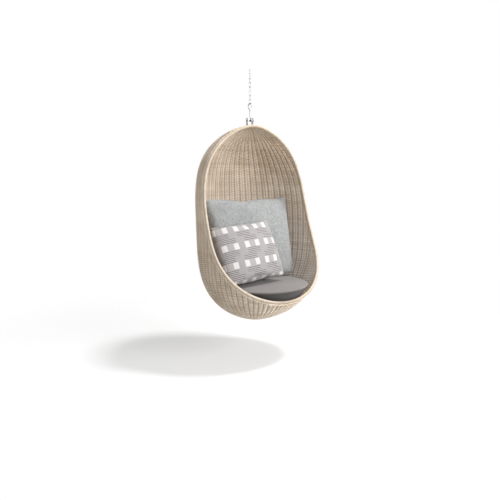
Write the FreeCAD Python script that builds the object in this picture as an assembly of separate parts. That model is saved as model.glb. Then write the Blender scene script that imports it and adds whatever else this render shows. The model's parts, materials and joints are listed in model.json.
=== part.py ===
import FreeCAD, Part
import math
import os

from FreeCAD import Vector

os.makedirs("parts", exist_ok=True)

# Hanging egg chair. Millimetres, +Z up, the sitter faces -Y and has +X on the left hand.
# The origin is the point where the top chain link bears on whatever holds the chair.

# Clearances
SEAT_GAP = 0.3            # between pieces that rest on one another
WALL_GAP = 4.0            # between a cushion and the basket wall, at the least

# Chain
LINK_COUNT = 8
LINK_WIRE = 4.0
LINK_INNER_LENGTH = 26.0
LINK_INNER_WIDTH = 8.0

# S-hook
HOOK_WIRE = 7.0
HOOK_LENGTH = 111.0       # from crown to foot, along the centre of the wire
HOOK_TOP_RADIUS = 17.5
HOOK_FOOT_RADIUS = 11.5
HOOK_NECK_RADIUS = 20.0   # bend from the upper crook into the shank
HOOK_ANKLE_RADIUS = 14.0  # bend from the shank into the lower crook
HOOK_TIP_LENGTH = 9.0     # straight tip past each crook

# Hanger: a U bracket with a bolt across its ears
BOLT_DIAMETER = 8.0
BOLT_HEAD_ACROSS_FLATS = 13.0
BOLT_HEAD_HEIGHT = 5.3
BOLT_TIP = 3.0            # thread that stands out of the nut
NUT_HEIGHT = 8.0
WASHER_DIAMETER = 16.0
WASHER_THICKNESS = 1.6
SLEEVE_DIAMETER = 12.0
SLEEVE_LENGTH = 38.0
BORE_PLAY = 0.2           # radial play round the bolt
BRACKET_BAR = 4.0
BRACKET_WIDTH = 25.0
BRACKET_BEND = 4.0        # inside bend radius
SCREW_DIAMETER = 6.0
SCREW_HEAD_DIAMETER = 10.5
SCREW_HEAD_HEIGHT = 3.3
SCREW_SPACING = 18.0
BOLT_ABOVE_CROWN = 28.0   # from the top of the egg to the bolt's axis

# Basket: an egg whose level sections are two half ellipses, one to the front, one to the rear.
# Its axis runs from the foot, which lies forward, to the crown on the hanging line.
EGG_HEIGHT = 1250.0
EGG_HALF_WIDTH = 410.0
EGG_FRONT_DEPTH = 443.0   # from the axis
EGG_REAR_DEPTH = 338.0
WIDTH_GIRTH = 593.0       # height at which each of the three is largest
FRONT_GIRTH = 591.0
REAR_GIRTH = 738.0
EGG_SIDE_POWER = 3.44     # how flat the sides are
EGG_END_POWER = 1.475     # how blunt the crown and the bowl are
EGG_FOOT_SHIFT = -47.0    # where the axis meets the ground, behind the hanging line
EGG_BELLY_SHIFT = -118.0  # how far the widest points bow forward of the axis
EGG_LEVELS = 26           # sections that the surfaces and the ribs are drawn through
SKIN_THICKNESS = 12.0

# Opening in the front of the egg
LIP_HEIGHT = 178.0        # height of the opening's lowest point
RIM_POWER = 2.75          # how quickly the rim sweeps back above the lip
RIM_TUBE = 16.0
RIM_WALL = 1.5
RIM_WRAP = 2.0            # thickness of the wrapping round the tube
RIM_END_GAP = 2.0         # between the tube's two ends, in front of the crown plate

# Frame inside the weave
RIB_DIAMETER = 8.0
CROWN_PLATE_RADIUS = 38.0
CROWN_PLATE_THICKNESS = 6.0
PLATE_DEPTH = 7.6         # from the top of the egg to the plate's upper face
FOOT_DISC_RADIUS = 45.0
FOOT_DISC_THICKNESS = 6.0
RIB_ANGLES = {
    "rib_back": 180.0,
    "rib_rear_left": 135.0,
    "rib_side_left": 90.0,
    "rib_fore_left": 45.0,
    "rib_front": 0.0,
    "rib_fore_right": -45.0,
    "rib_side_right": -90.0,
    "rib_rear_right": -135.0,
}

# Seat deck and cushions
SEAT_HEIGHT = 165.0       # underside of the seat cushion above the egg's lowest point
DECK_TUBE = 16.0
DECK_WALL = 1.5
DECK_END_GAP = 2.0        # between the ring's two ends, at the rear
DECK_WALL_GAP = 2.0       # between the ring and the basket wall, bridged by its bindings
DECK_BAR_WIDTH = 30.0
DECK_BAR_THICKNESS = 4.0
DECK_BARS = {"seat_bar_front": -230.0, "seat_bar_middle": -95.0, "seat_bar_rear": 40.0}
PAD_CENTRE_Y = -97.0
PAD_TOP_RADIUS = 315.0
PAD_FOOT_RADIUS = 262.0
PAD_THICKNESS = 84.0
PAD_EDGE = 22.0           # rounding of the seat cushion's upper edge
COVER_THICKNESS = 2.5
BACK_CUSHION = (650.0, 92.0, 535.0)  # width, thickness and height
BACK_LEAN = 10.5          # degrees from upright
BACK_PLACE = (0.0, -42.0)  # where its lower edge stands
PILLOW = (425.0, 78.0, 395.0)
PILLOW_LEAN = 24.0
PILLOW_PLACE = (-95.0, -216.0)
CUSHION_EDGE = 34.0       # rounding of the loose cushions' edges
CUSHION_GAP = 0.5         # between cushions that rest on one another


# ---------------------------------------------------------------- places along the hanging line
def link_crown(number):
    """Height of the centre of a link's top wire."""
    return LINK_WIRE / 2 - (number - 1) * (LINK_INNER_LENGTH - SEAT_GAP)


def link_foot(number):
    """Height of the centre of a link's bottom wire."""
    return link_crown(number) - LINK_INNER_LENGTH - LINK_WIRE


HOOK_CROWN = link_foot(LINK_COUNT) + (LINK_WIRE + HOOK_WIRE) / 2 + SEAT_GAP
HOOK_FOOT = HOOK_CROWN - HOOK_LENGTH
BOLT_Z = HOOK_FOOT + (HOOK_WIRE + SLEEVE_DIAMETER) / 2 + SEAT_GAP
EGG_TOP = BOLT_Z - BOLT_ABOVE_CROWN
EGG_FOOT = EGG_TOP - EGG_HEIGHT


# ---------------------------------------------------------------- the egg's own geometry
def egg_swell(height, girth, inset):
    """Share of its largest size that a half width or depth has at a height above the foot."""
    if height > girth:
        part = (height - girth) / (EGG_HEIGHT - girth - inset)
    else:
        part = (girth - height) / (girth - inset)
    return max(0.0, 1 - part ** EGG_SIDE_POWER) ** (1 / EGG_END_POWER)


def egg_section(height, inset):
    """Half width, front depth and rear depth of a level section, and where its widest points lie."""
    part = height / EGG_HEIGHT
    axis = EGG_FOOT_SHIFT * (1 - part)
    width = (EGG_HALF_WIDTH - inset) * egg_swell(height, WIDTH_GIRTH, inset)
    front = (EGG_FRONT_DEPTH - inset) * egg_swell(height, FRONT_GIRTH, inset)
    rear = (EGG_REAR_DEPTH - inset) * egg_swell(height, REAR_GIRTH, inset)
    bow = EGG_BELLY_SHIFT * 4 * part * (1 - part)
    return width, front + bow, rear - bow, axis + bow


def egg_point(height, angle, inset):
    """A point on the egg; angle 0 looks forward and 90 is the sitter's left."""
    width, front, rear, middle = egg_section(height, inset)
    turn = math.radians(angle)
    depth = front if math.cos(turn) > 0 else rear
    return Vector(width * math.sin(turn), middle - depth * math.cos(turn), EGG_FOOT + height)


def egg_wire(height, inset):
    """The level section as two half ellipses."""
    width, front, rear, shift = egg_section(height, inset)
    centre = Vector(0, shift, EGG_FOOT + height)
    left = centre + Vector(width, 0, 0)
    right = centre - Vector(width, 0, 0)
    halves = []
    for start, middle, end in ((right, -front, left), (left, rear, right)):
        halves.append(half_ellipse(centre, start, centre + Vector(0, middle, 0), end))
    return Part.Wire(halves)


def half_ellipse(centre, start, middle, end):
    """Half an ellipse through start, middle and end, about a centre."""
    wide = (start - centre).Length
    deep = (middle - centre).Length
    if wide >= deep:
        ellipse = Part.Ellipse(start, middle, centre)
    else:
        ellipse = Part.Ellipse(middle, start, centre)
    first = ellipse.parameter(start)
    last = ellipse.parameter(end)
    arc = Part.ArcOfEllipse(ellipse, first, last)
    if (arc.value((arc.FirstParameter + arc.LastParameter) / 2) - middle).Length > 1:
        arc = Part.ArcOfEllipse(ellipse, last, first)
    return arc.toShape()


def egg_levels(inset):
    """Heights of the sections that the egg is lofted through, closer together near its ends."""
    middle = EGG_HEIGHT / 2
    turns = [math.pi * index / EGG_LEVELS for index in range(1, EGG_LEVELS)]
    return [middle - (middle - inset) * math.cos(turn) for turn in turns]


def egg_solid(inset):
    """The egg, closed by small level faces at its ends."""
    return Part.makeLoft([egg_wire(height, inset) for height in egg_levels(inset)], True, False)


# ---------------------------------------------------------------- the opening
MID_SKIN = SKIN_THICKNESS / 2
WRAP_RADIUS = RIM_TUBE / 2 + RIM_WRAP
RIM_CROWN_Y = -(CROWN_PLATE_RADIUS + RIM_TUBE / 2 + SEAT_GAP)


def rim_y(height):
    """Side view of the rim: how far back it lies at a height above the foot."""
    front = egg_point(LIP_HEIGHT, 0, MID_SKIN).y
    part = min(1.0, max(0.0, (height - LIP_HEIGHT) / (EGG_HEIGHT - LIP_HEIGHT)))
    return front + (RIM_CROWN_Y - front) * (1 - (1 - part) ** RIM_POWER)


def bisect(function, low, high):
    """Where a rising function crosses zero."""
    for step in range(50):
        middle = (low + high) / 2
        if function(middle) > 0:
            high = middle
        else:
            low = middle
    return (low + high) / 2


def rim_top():
    """Height at which the rim crosses the middle plane above the crown plate."""
    highest = EGG_HEIGHT - MID_SKIN
    return bisect(lambda z: egg_point(z, 0, MID_SKIN).y - rim_y(z), FRONT_GIRTH, highest)


def rim_points(count):
    """Points along the left half of the rim, from the lip to the crown, on the middle of the skin."""
    top = rim_top()
    points = []
    for index in range(count + 1):
        height = LIP_HEIGHT + (top - LIP_HEIGHT) * (1 - math.cos(math.pi * index / count)) / 2
        width, front, rear, middle = egg_section(height, MID_SKIN)
        y = rim_y(height)
        depth = front if y < middle else rear
        x = width * math.sqrt(max(0.0, 1 - ((y - middle) / depth) ** 2))
        points.append(Vector(x, y, EGG_FOOT + height))
    points[0].x = 0.0
    points[-1].x = 0.0
    return points


def rim_line():
    """The rim's line from the crown down the left side, round the lip and back up the right side."""
    left = list(reversed(rim_points(18)))
    left[0].x = RIM_END_GAP / 2
    right = [Vector(-point.x, point.y, point.z) for point in reversed(left)]
    return open_spline(left + right[1:])


def tube_along(path, radius, wall):
    """A tube along a wire."""
    edge = path.Edges[0]
    start = edge.valueAt(edge.FirstParameter)
    along = edge.tangentAt(edge.FirstParameter)
    outer = Part.Face(Part.Wire(Part.makeCircle(radius, start, along)))
    inner = Part.Face(Part.Wire(Part.makeCircle(radius - wall, start, along)))
    return outward(path.makePipe(outer.cut(inner).Faces[0]))


def open_spline(points):
    """A smooth open wire through points."""
    curve = Part.BSplineCurve()
    curve.interpolate(Points=points)
    return Part.Wire(curve.toShape())


def round_bar(path, radius):
    """A round solid along a wire."""
    edge = path.Edges[0]
    start = edge.valueAt(edge.FirstParameter)
    along = edge.tangentAt(edge.FirstParameter)
    circle = Part.Wire(Part.makeCircle(radius, start, along))
    bar = path.makePipeShell([circle], True, False)
    if not isinstance(bar, Part.Solid):
        bar = Part.Solid(Part.Shell(bar.Faces))
    return outward(bar)


def outward(solid):
    """The solid with its faces looking outwards."""
    if solid.Volume < 0:
        solid.reverse()
    return solid


def opening_cutter(back_off):
    """Everything in front of the rim, and a strip of a given width behind its line."""
    count = 16
    line = []
    for index in range(count + 1):
        height = LIP_HEIGHT + (EGG_HEIGHT - LIP_HEIGHT) * index / count
        step = 0.5
        slope = (rim_y(height + step) - rim_y(height - step)) / (2 * step)
        if index == 0:
            slope = (rim_y(height + step) - rim_y(height)) / step
        length = math.hypot(slope, 1)
        back = back_off / length
        line.append(Vector(0, rim_y(height) + back, EGG_FOOT + height - back * slope))
    first_run = line[1] - line[0]
    tail = line[0] - first_run.normalize() * EGG_FRONT_DEPTH
    head = line[-1] + Vector(0, 0, EGG_HEIGHT / 10)
    far = -2 * EGG_FRONT_DEPTH
    edges = [open_spline(line).Edges[0]]
    corners = [line[-1], head, Vector(0, far, head.z), Vector(0, far, tail.z), tail, line[0]]
    for start, end in zip(corners, corners[1:]):
        edges.append(Part.makeLine(start, end))
    face = Part.Face(Part.Wire(Part.sortEdges(edges)[0]))
    reach = 2 * EGG_HALF_WIDTH
    face.translate(Vector(-reach, 0, 0))
    return face.extrude(Vector(2 * reach, 0, 0))


# ---------------------------------------------------------------- chain and hook
def chain_link(number):
    """A stadium-shaped link; odd links lie in the YZ plane and even ones in the XZ plane."""
    bend = (LINK_INNER_WIDTH + LINK_WIRE) / 2
    top = link_crown(number) - bend
    foot = link_foot(number) + bend
    side = Vector(bend, 0, 0)
    up = Vector(0, 0, bend)
    arc_top = Part.Arc(Vector(0, 0, top) + side, Vector(0, 0, top) + up, Vector(0, 0, top) - side)
    arc_foot = Part.Arc(Vector(0, 0, foot) - side, Vector(0, 0, foot) - up, Vector(0, 0, foot) + side)
    left = Part.makeLine(Vector(-bend, 0, top), Vector(-bend, 0, foot))
    right = Part.makeLine(Vector(bend, 0, foot), Vector(bend, 0, top))
    path = Part.Wire([right, arc_top.toShape(), left, arc_foot.toShape()])
    link = round_bar(path, LINK_WIRE / 2)
    if number % 2 == 1:
        link.rotate(Vector(0, 0, 0), Vector(0, 0, 1), 90)
    return link


def s_hook():
    """Two crooks on one straight shank, bent from round wire in the YZ plane."""
    top = HOOK_CROWN - HOOK_TOP_RADIUS
    foot = HOOK_FOOT + HOOK_FOOT_RADIUS
    upper = crook(HOOK_TOP_RADIUS, HOOK_NECK_RADIUS)
    lower = crook(HOOK_FOOT_RADIUS, HOOK_ANKLE_RADIUS)
    edges = [edge.translated(Vector(0, 0, top)) for edge in upper]
    for edge in reversed(lower):
        turned = edge.rotated(Vector(0, 0, 0), Vector(1, 0, 0), 180)
        edges.append(turned.translated(Vector(0, 0, foot)))
    neck = -math.sqrt((HOOK_TOP_RADIUS + HOOK_NECK_RADIUS) ** 2 - HOOK_NECK_RADIUS ** 2)
    ankle = math.sqrt((HOOK_FOOT_RADIUS + HOOK_ANKLE_RADIUS) ** 2 - HOOK_ANKLE_RADIUS ** 2)
    edges.append(Part.makeLine(Vector(0, 0, top + neck), Vector(0, 0, foot + ankle)))
    path = Part.Wire(Part.sortEdges(edges)[0])
    return round_bar(path, HOOK_WIRE / 2)


def crook(radius, bend):
    """The tip, the half circle and the bend back to the shank of an upper crook at the origin."""
    drop = math.sqrt((radius + bend) ** 2 - bend ** 2)
    tilt = math.atan2(drop, bend)
    meet = Vector(0, radius * math.cos(tilt), -radius * math.sin(tilt))
    half = tilt / 2
    outer = Part.Arc(
        Vector(0, -radius, 0),
        Vector(0, 0, radius),
        Vector(0, radius, 0),
    )
    shoulder = Part.Arc(
        Vector(0, radius, 0),
        Vector(0, radius * math.cos(half), -radius * math.sin(half)),
        meet,
    )
    neck_centre = Vector(0, bend, -drop)
    to_meet = math.pi - tilt
    middle = (to_meet + math.pi) / 2
    inner = Part.Arc(
        meet,
        neck_centre + Vector(0, bend * math.cos(middle), bend * math.sin(middle)),
        Vector(0, 0, -drop),
    )
    tip = Part.makeLine(Vector(0, -radius, -HOOK_TIP_LENGTH), Vector(0, -radius, 0))
    return [tip, outer.toShape(), shoulder.toShape(), inner.toShape()]


# ---------------------------------------------------------------- hanger
PLATE_TOP = EGG_TOP - PLATE_DEPTH
PLATE_FOOT = PLATE_TOP - CROWN_PLATE_THICKNESS
EAR_INSIDE = SLEEVE_LENGTH / 2


def across(radius, start, length):
    """A cylinder along X, on the bolt's axis."""
    return Part.makeCylinder(radius, length, Vector(start, 0, BOLT_Z), Vector(1, 0, 0))


def hexagon(across_flats, start, length):
    """A hexagonal prism along X, on the bolt's axis."""
    reach = across_flats / math.sqrt(3)
    corners = []
    for index in range(7):
        turn = math.radians(60 * index)
        corners.append(Vector(start, reach * math.cos(turn), BOLT_Z + reach * math.sin(turn)))
    return Part.Face(Part.makePolygon(corners)).extrude(Vector(length, 0, 0))


def hanger_bracket():
    """Flat bar bent to a U: a base with two screw holes and two ears with round ends."""
    outside = EAR_INSIDE + BRACKET_BAR
    outer_bend = BRACKET_BEND + BRACKET_BAR
    half = BRACKET_WIDTH / 2
    ear_top = BOLT_Z + half
    low = Vector(-outside, -half, PLATE_TOP)
    outer = Part.makeBox(2 * outside, BRACKET_WIDTH, ear_top - PLATE_TOP, low)
    corners = [edge for edge in outer.Edges if is_long_corner(edge, PLATE_TOP)]
    outer = outer.makeFillet(outer_bend, corners)
    base_top = PLATE_TOP + BRACKET_BAR
    inner_height = ear_top - base_top + 1
    inner_low = Vector(-EAR_INSIDE, -half - 1, base_top)
    inner = Part.makeBox(2 * EAR_INSIDE, BRACKET_WIDTH + 2, inner_height, inner_low)
    corners = [edge for edge in inner.Edges if is_long_corner(edge, base_top)]
    inner = inner.makeFillet(BRACKET_BEND, corners)
    bracket = outer.cut(inner)
    ends = across(half, -outside, 2 * outside)
    lower = Part.makeBox(2 * outside, BRACKET_WIDTH, BOLT_Z - PLATE_TOP, low)
    bracket = bracket.common(ends.fuse(lower))
    bracket = bracket.cut(across(BOLT_DIAMETER / 2 + BORE_PLAY, -outside - 1, 2 * outside + 2))
    for x in screw_places():
        bracket = bracket.cut(upright(SCREW_DIAMETER / 2 + BORE_PLAY, x, PLATE_TOP - 1, BRACKET_BAR + 2))
    return bracket


def is_long_corner(edge, z):
    """Whether an edge runs along Y at a given height."""
    middle = edge.CenterOfMass
    first = edge.Vertexes[0].Point
    last = edge.Vertexes[-1].Point
    return abs(middle.z - z) < 0.01 and abs(first.x - last.x) < 0.01


def upright(radius, x, z, height):
    """A cylinder along Z at a place on the X axis."""
    return Part.makeCylinder(radius, height, Vector(x, 0, z))


def screw_places():
    """Where the screws of the bracket stand."""
    return [-SCREW_SPACING / 2, SCREW_SPACING / 2]


def hanger_bolt():
    """A hex bolt whose head bears on the right-hand washer."""
    under_head = -(EAR_INSIDE + BRACKET_BAR + WASHER_THICKNESS)
    grip = 2 * -under_head + NUT_HEIGHT + BOLT_TIP
    shank = across(BOLT_DIAMETER / 2, under_head, grip)
    tip = [edge for edge in shank.Edges if abs(edge.CenterOfMass.x - under_head - grip) < 0.01]
    shank = shank.makeChamfer(0.8, tip)
    head = hexagon(BOLT_HEAD_ACROSS_FLATS, under_head - BOLT_HEAD_HEIGHT, BOLT_HEAD_HEIGHT)
    crown = Part.makeCone(
        BOLT_HEAD_ACROSS_FLATS / 2 + 0.2,
        BOLT_HEAD_ACROSS_FLATS / 2 + 0.2 + BOLT_HEAD_HEIGHT,
        BOLT_HEAD_HEIGHT,
        Vector(under_head - BOLT_HEAD_HEIGHT, 0, BOLT_Z),
        Vector(1, 0, 0),
    )
    return shank.fuse(head.common(crown)).removeSplitter()


def hanger_nut():
    """A lock nut: a hexagon with a round collar."""
    start = EAR_INSIDE + BRACKET_BAR + WASHER_THICKNESS
    collar = 2.0
    body = hexagon(BOLT_HEAD_ACROSS_FLATS, start, NUT_HEIGHT - collar)
    ring = across(BOLT_HEAD_ACROSS_FLATS / 2 - 0.5, start, NUT_HEIGHT)
    return body.fuse(ring).cut(across(BOLT_DIAMETER / 2 + BORE_PLAY / 2, start - 1, NUT_HEIGHT + 2))


def hanger_sleeve():
    """The tube on the bolt that the hook rides on."""
    tube = across(SLEEVE_DIAMETER / 2, -EAR_INSIDE, SLEEVE_LENGTH)
    return tube.cut(across(BOLT_DIAMETER / 2 + BORE_PLAY, -EAR_INSIDE - 1, SLEEVE_LENGTH + 2))


def hanger_washers():
    """One washer under the bolt's head and one under the nut."""
    start = EAR_INSIDE + BRACKET_BAR
    washers = []
    for place in (-start - WASHER_THICKNESS, start):
        ring = across(WASHER_DIAMETER / 2, place, WASHER_THICKNESS)
        hole = across(BOLT_DIAMETER / 2 + BORE_PLAY, place - 1, WASHER_THICKNESS + 2)
        washers.append(ring.cut(hole))
    return Part.makeCompound(washers)


def bracket_screws():
    """Button screws through the bracket's base into the crown plate."""
    base_top = PLATE_TOP + BRACKET_BAR
    screws = []
    for x in screw_places():
        shank = upright(SCREW_DIAMETER / 2, x, PLATE_FOOT, base_top - PLATE_FOOT)
        head = upright(SCREW_HEAD_DIAMETER / 2, x, base_top, SCREW_HEAD_HEIGHT)
        head_top = base_top + SCREW_HEAD_HEIGHT
        rim = [edge for edge in head.Edges if abs(edge.CenterOfMass.z - head_top) < 0.01]
        screws.append(shank.fuse(head.makeFillet(SCREW_HEAD_HEIGHT * 0.6, rim)).removeSplitter())
    return Part.makeCompound(screws)


# ---------------------------------------------------------------- frame
def crown_plate():
    """The disc that the bracket stands on and the ribs run into."""
    low = Vector(0, 0, PLATE_FOOT)
    plate = Part.makeCylinder(CROWN_PLATE_RADIUS, CROWN_PLATE_THICKNESS, low)
    for x in screw_places():
        hole = upright(SCREW_DIAMETER / 2 + BORE_PLAY / 2, x, PLATE_FOOT - 1, CROWN_PLATE_THICKNESS + 2)
        plate = plate.cut(hole)
    return plate


def foot_disc():
    """The disc at the bottom of the bowl that the ribs run into."""
    middle = EGG_FOOT + rib_end(FOOT_DISC_RADIUS, 90, False)
    low = Vector(0, EGG_FOOT_SHIFT, middle - FOOT_DISC_THICKNESS / 2)
    return Part.makeCylinder(FOOT_DISC_RADIUS, FOOT_DISC_THICKNESS, low)


def disc_rooms():
    """Round holes through the skin and the ribs, for the crown plate and the foot disc."""
    depth = 3 * SKIN_THICKNESS
    crown = Vector(0, 0, EGG_TOP - depth)
    foot = Vector(0, EGG_FOOT_SHIFT, EGG_FOOT - SKIN_THICKNESS)
    upper = Part.makeCylinder(CROWN_PLATE_RADIUS + SEAT_GAP, 2 * depth, crown)
    lower = Part.makeCylinder(FOOT_DISC_RADIUS + SEAT_GAP, depth, foot)
    return [upper, lower]


def rib_end(radius, angle, upper):
    """Height at which a rib comes within a radius of its disc's axis."""
    axis_y = 0.0 if upper else EGG_FOOT_SHIFT

    def beyond(height):
        point = egg_point(height, angle, MID_SKIN)
        away = math.hypot(point.x, point.y - axis_y) - radius
        return -away if upper else away

    if upper:
        return bisect(beyond, REAR_GIRTH, EGG_HEIGHT - MID_SKIN)
    return bisect(beyond, MID_SKIN, FRONT_GIRTH)


def rib_points(angle):
    """A rib's line on the middle of the skin, from the foot disc to the crown plate or the rim."""
    start = rib_end(FOOT_DISC_RADIUS - RIB_DIAMETER / 2, angle, False)
    end = rib_end(CROWN_PLATE_RADIUS - RIB_DIAMETER / 2, angle, True)
    spare = RIB_DIAMETER / 2
    if not behind_rim(REAR_GIRTH, angle):
        end = bisect(lambda z: rim_y(z) - egg_point(z, angle, MID_SKIN).y, LIP_HEIGHT, REAR_GIRTH)
        spare = RIM_TUBE
    heights = [height for height in egg_levels(MID_SKIN) if start + spare < height < end - spare]
    return [egg_point(height, angle, MID_SKIN) for height in [start] + heights + [end]]


def behind_rim(height, angle):
    """Whether a point of the egg is kept when the opening is cut."""
    return height <= LIP_HEIGHT or egg_point(height, angle, MID_SKIN).y > rim_y(height)


def rib(angle, radius):
    """A round bar along a rib's line."""
    return round_bar(open_spline(rib_points(angle)), radius)


# ---------------------------------------------------------------- seat deck
def wall_inset(height, direction, distance):
    """How far inside the inner wall a bar's centre stays at a height, to clear it by a distance."""
    step = 1.0
    pick = {"side": 0, "front": 1, "rear": 2}[direction]
    low = egg_section(height - step, SKIN_THICKNESS)
    high = egg_section(height + step, SKIN_THICKNESS)
    lean = (high[3] - low[3]) / (2 * step)
    slope = (high[pick] - low[pick]) / (2 * step)
    if direction == "front":
        slope = slope - lean
    if direction == "rear":
        slope = slope + lean
    return distance * math.hypot(slope, 1)


DECK_Z = SEAT_HEIGHT - SEAT_GAP - DECK_BAR_THICKNESS - DECK_TUBE / 2


def deck_sizes():
    """Half width, front and rear depth of the ring's centre line, and its shift."""
    width, front, rear, shift = egg_section(DECK_Z, SKIN_THICKNESS)
    away = DECK_TUBE / 2 + DECK_WALL_GAP
    return (
        width - wall_inset(DECK_Z, "side", away),
        front - wall_inset(DECK_Z, "front", away),
        rear - wall_inset(DECK_Z, "rear", away),
        shift,
    )


def ring_point(turn):
    """A point of the ring's centre line; turn 0 is at the rear."""
    width, front, rear, shift = deck_sizes()
    depth = rear if math.cos(turn) > 0 else front
    x = width * math.sin(turn)
    return Vector(x, shift + depth * math.cos(turn), EGG_FOOT + DECK_Z)


def seat_ring():
    """A level ring of round tube close to the bowl's wall, its ends butted at the rear."""
    count = 48
    first = math.asin(DECK_END_GAP / 2 / deck_sizes()[0])
    step = (2 * math.pi - 2 * first) / count
    points = [ring_point(first + step * index) for index in range(count + 1)]
    return tube_along(open_spline(points), DECK_TUBE / 2, DECK_WALL)


def seat_bar(y):
    """A flat bar across the ring, with its ends over the middle of the tube."""
    width, front, rear, shift = deck_sizes()
    nearest = y - DECK_BAR_WIDTH / 2 if y < shift else y + DECK_BAR_WIDTH / 2
    depth = front if y < shift else rear
    reach = width * math.sqrt(1 - ((nearest - shift) / depth) ** 2)
    low = EGG_FOOT + DECK_Z + DECK_TUBE / 2
    corner = Vector(-reach, y - DECK_BAR_WIDTH / 2, low)
    return Part.makeBox(2 * reach, DECK_BAR_WIDTH, DECK_BAR_THICKNESS, corner)


# ---------------------------------------------------------------- cushions
def seat_pad(inset):
    """A round pad that narrows downwards, its edges rounded."""
    low = EGG_FOOT + SEAT_HEIGHT + inset
    height = PAD_THICKNESS - 2 * inset
    centre = Vector(0, PAD_CENTRE_Y, low)
    pad = Part.makeCone(PAD_FOOT_RADIUS - inset, PAD_TOP_RADIUS - inset, height, centre)
    pad = pad.makeFillet(PAD_EDGE - inset, circles_at(pad, low + height))
    return pad.makeFillet((PAD_EDGE - inset) / 2, circles_at(pad, low))


def circles_at(shape, z):
    """The closed edges that lie at a height."""
    return [edge for edge in shape.Edges if edge.Closed and abs(edge.CenterOfMass.z - z) < 0.01]


def loose_cushion(size, lean, place, inset):
    """A cushion with rounded edges that leans back on its lower edge, trimmed to the basket's wall."""
    width, thickness, height = (length - 2 * inset for length in size)
    cushion = Part.makeBox(width, thickness, height, Vector(-width / 2, -thickness / 2, inset))
    cushion = cushion.makeFillet(CUSHION_EDGE - inset, cushion.Edges)
    cushion.rotate(Vector(0, 0, 0), Vector(1, 0, 0), -lean)
    turn = math.radians(lean)
    lift = (size[1] / 2 - CUSHION_EDGE) * math.sin(turn) + CUSHION_EDGE * (1 - math.cos(turn))
    low = EGG_FOOT + SEAT_HEIGHT + PAD_THICKNESS + lift + CUSHION_GAP
    cushion.translate(Vector(place[0], place[1], low))
    return cushion.common(egg_solid(SKIN_THICKNESS + WALL_GAP + inset)).Solids[0]


def back_cushion(inset):
    """The cushion that leans on the rear wall."""
    return loose_cushion(BACK_CUSHION, BACK_LEAN, BACK_PLACE, inset)


def throw_pillow(inset):
    """The patterned pillow that leans on the back cushion."""
    return loose_cushion(PILLOW, PILLOW_LEAN, PILLOW_PLACE, inset)


def cover_and_filling(shape, name):
    """A sewn cover as a thin shell, and the filling inside it."""
    cover = shape(0).cut(shape(COVER_THICKNESS))
    return {name: cover, name + "_filling": shape(COVER_THICKNESS + SEAT_GAP)}


# ---------------------------------------------------------------- the assembly
def build():
    """All pieces by name."""
    pieces = {}
    for number in range(1, LINK_COUNT + 1):
        pieces["chain_link_" + str(number)] = chain_link(number)
    pieces["s_hook"] = s_hook()
    pieces["hanger_bracket"] = hanger_bracket()
    pieces["hanger_bolt"] = hanger_bolt()
    pieces["hanger_sleeve"] = hanger_sleeve()
    pieces["hanger_washers"] = hanger_washers()
    pieces["hanger_nut"] = hanger_nut()
    pieces["bracket_screws"] = bracket_screws()
    pieces["crown_plate"] = crown_plate()
    pieces["foot_disc"] = foot_disc()
    pieces["rim_hoop"] = tube_along(rim_line(), RIM_TUBE / 2, RIM_WALL)
    wrap = tube_along(rim_line(), WRAP_RADIUS, RIM_WRAP - SEAT_GAP)
    pieces["rim_wrap"] = wrap.cut(disc_rooms()[0])
    rooms = disc_rooms() + [opening_cutter(WRAP_RADIUS + 2 * SEAT_GAP)]
    channels = []
    for name, angle in RIB_ANGLES.items():
        pieces[name] = rib(angle, RIB_DIAMETER / 2).cut(rooms)
        channels.append(rib(angle, RIB_DIAMETER / 2 + SEAT_GAP))
    skin = egg_solid(0).cut(egg_solid(SKIN_THICKNESS)).cut(rooms).cut(channels)
    pieces["woven_shell"] = skin
    pieces["seat_ring"] = seat_ring()
    for name, y in DECK_BARS.items():
        pieces[name] = seat_bar(y)
    pieces.update(cover_and_filling(seat_pad, "seat_cushion"))
    pieces.update(cover_and_filling(back_cushion, "back_cushion"))
    pieces.update(cover_and_filling(throw_pillow, "throw_pillow"))
    return pieces


for piece_name, piece in build().items():
    piece.exportStep("parts/" + piece_name + ".step")
    print(piece_name, len(piece.Solids), piece.isValid(), round(piece.Volume))
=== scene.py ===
# %% [markdown]
# # A hanging egg chair
# An egg of woven cane hangs by its crown from a chain and an S-hook. A round seat pad lies in the
# bowl, a flat grey cushion leans on the rear wall, and a patterned pillow leans on that.
# The chain, the hook and the hanger are shown as the frame brings them. The weave, the wrapped rim
# and the cushions are made here, round the same measures.

import json
import math

import bpy
import numpy as np
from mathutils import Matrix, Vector
from mathutils.bvhtree import BVHTree

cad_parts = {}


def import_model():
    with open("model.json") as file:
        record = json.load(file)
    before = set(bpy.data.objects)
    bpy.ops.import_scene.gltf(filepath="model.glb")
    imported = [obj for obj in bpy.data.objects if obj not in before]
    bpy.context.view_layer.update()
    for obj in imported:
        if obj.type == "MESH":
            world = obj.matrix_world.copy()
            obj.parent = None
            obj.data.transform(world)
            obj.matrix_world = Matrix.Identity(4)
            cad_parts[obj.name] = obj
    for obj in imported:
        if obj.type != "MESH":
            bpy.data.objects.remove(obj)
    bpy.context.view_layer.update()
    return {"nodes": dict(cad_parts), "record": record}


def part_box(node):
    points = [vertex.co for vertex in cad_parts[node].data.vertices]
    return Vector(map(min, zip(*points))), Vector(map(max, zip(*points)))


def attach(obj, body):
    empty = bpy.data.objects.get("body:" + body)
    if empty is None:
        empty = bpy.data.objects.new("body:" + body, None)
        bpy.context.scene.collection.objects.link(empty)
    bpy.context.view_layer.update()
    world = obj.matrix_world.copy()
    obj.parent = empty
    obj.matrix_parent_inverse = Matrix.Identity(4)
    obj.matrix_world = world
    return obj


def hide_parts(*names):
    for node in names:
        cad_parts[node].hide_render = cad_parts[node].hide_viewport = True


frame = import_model()

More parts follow.
